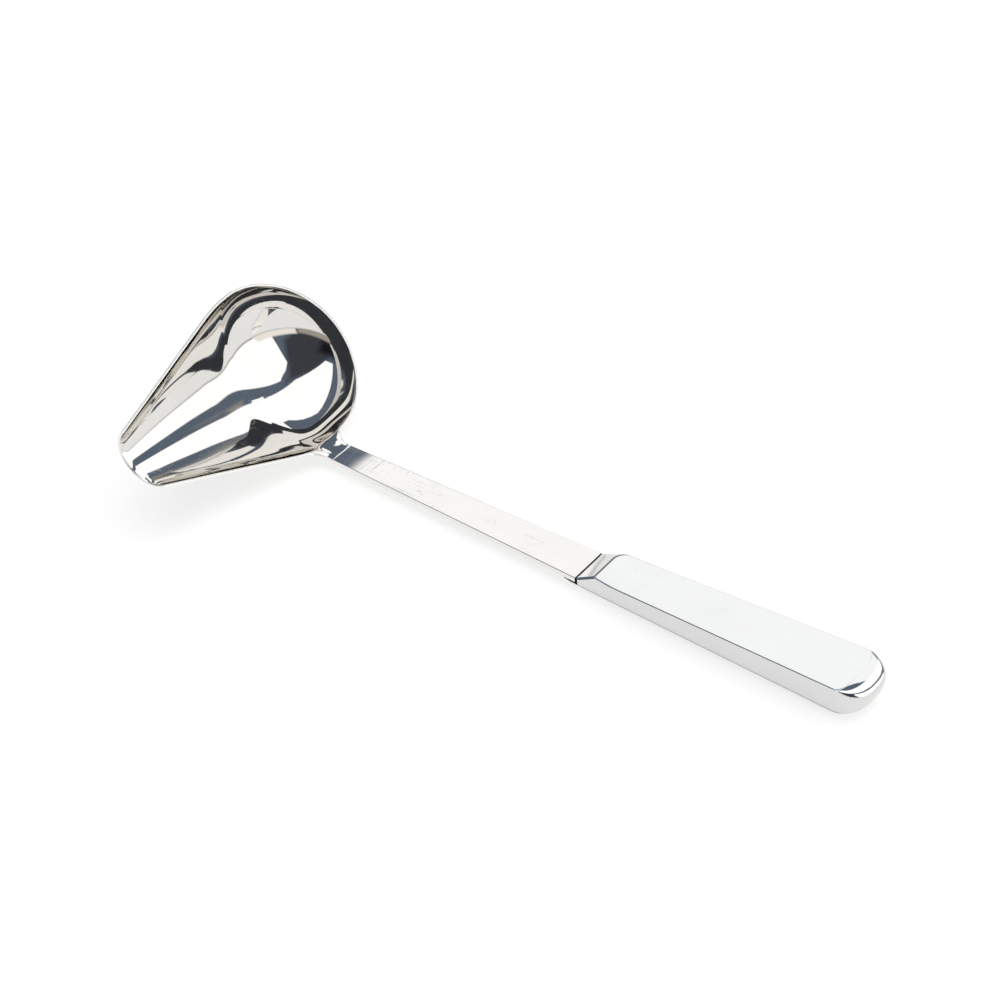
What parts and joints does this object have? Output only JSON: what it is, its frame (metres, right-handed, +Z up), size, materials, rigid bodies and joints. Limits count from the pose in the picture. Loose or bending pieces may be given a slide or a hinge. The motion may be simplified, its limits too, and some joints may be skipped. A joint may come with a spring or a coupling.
{
  "type": "spout ladle",
  "caption": "Polished steel serving ladle with a round bowl, a side pouring spout, a flat stem and a welded hollow handle.",
  "frame": {"origin": "middle of the bottom of the bounding box, on the surface that the ladle lies on", "axes": "+X along the stem from the bowl to the handle's end, +Y away from the spout, +Z up out of the stem's flat top"},
  "size_m": [0.3054, 0.113, 0.0596],
  "materials": {
    "polished_steel": "mirror-polished stainless steel with fine polishing lines",
    "handle_steel": "mirror-polished stainless steel, slightly softer than the bowl",
    "weld_metal": "as-welded, dull grey"
  },
  "bodies": {
    "root": {"ladle_blank": "polished_steel", "handle_upper_shell": "handle_steel", "handle_lower_shell": "handle_steel", "seam_weld": "weld_metal", "neck_weld": "weld_metal"}
  },
  "joints": []
}
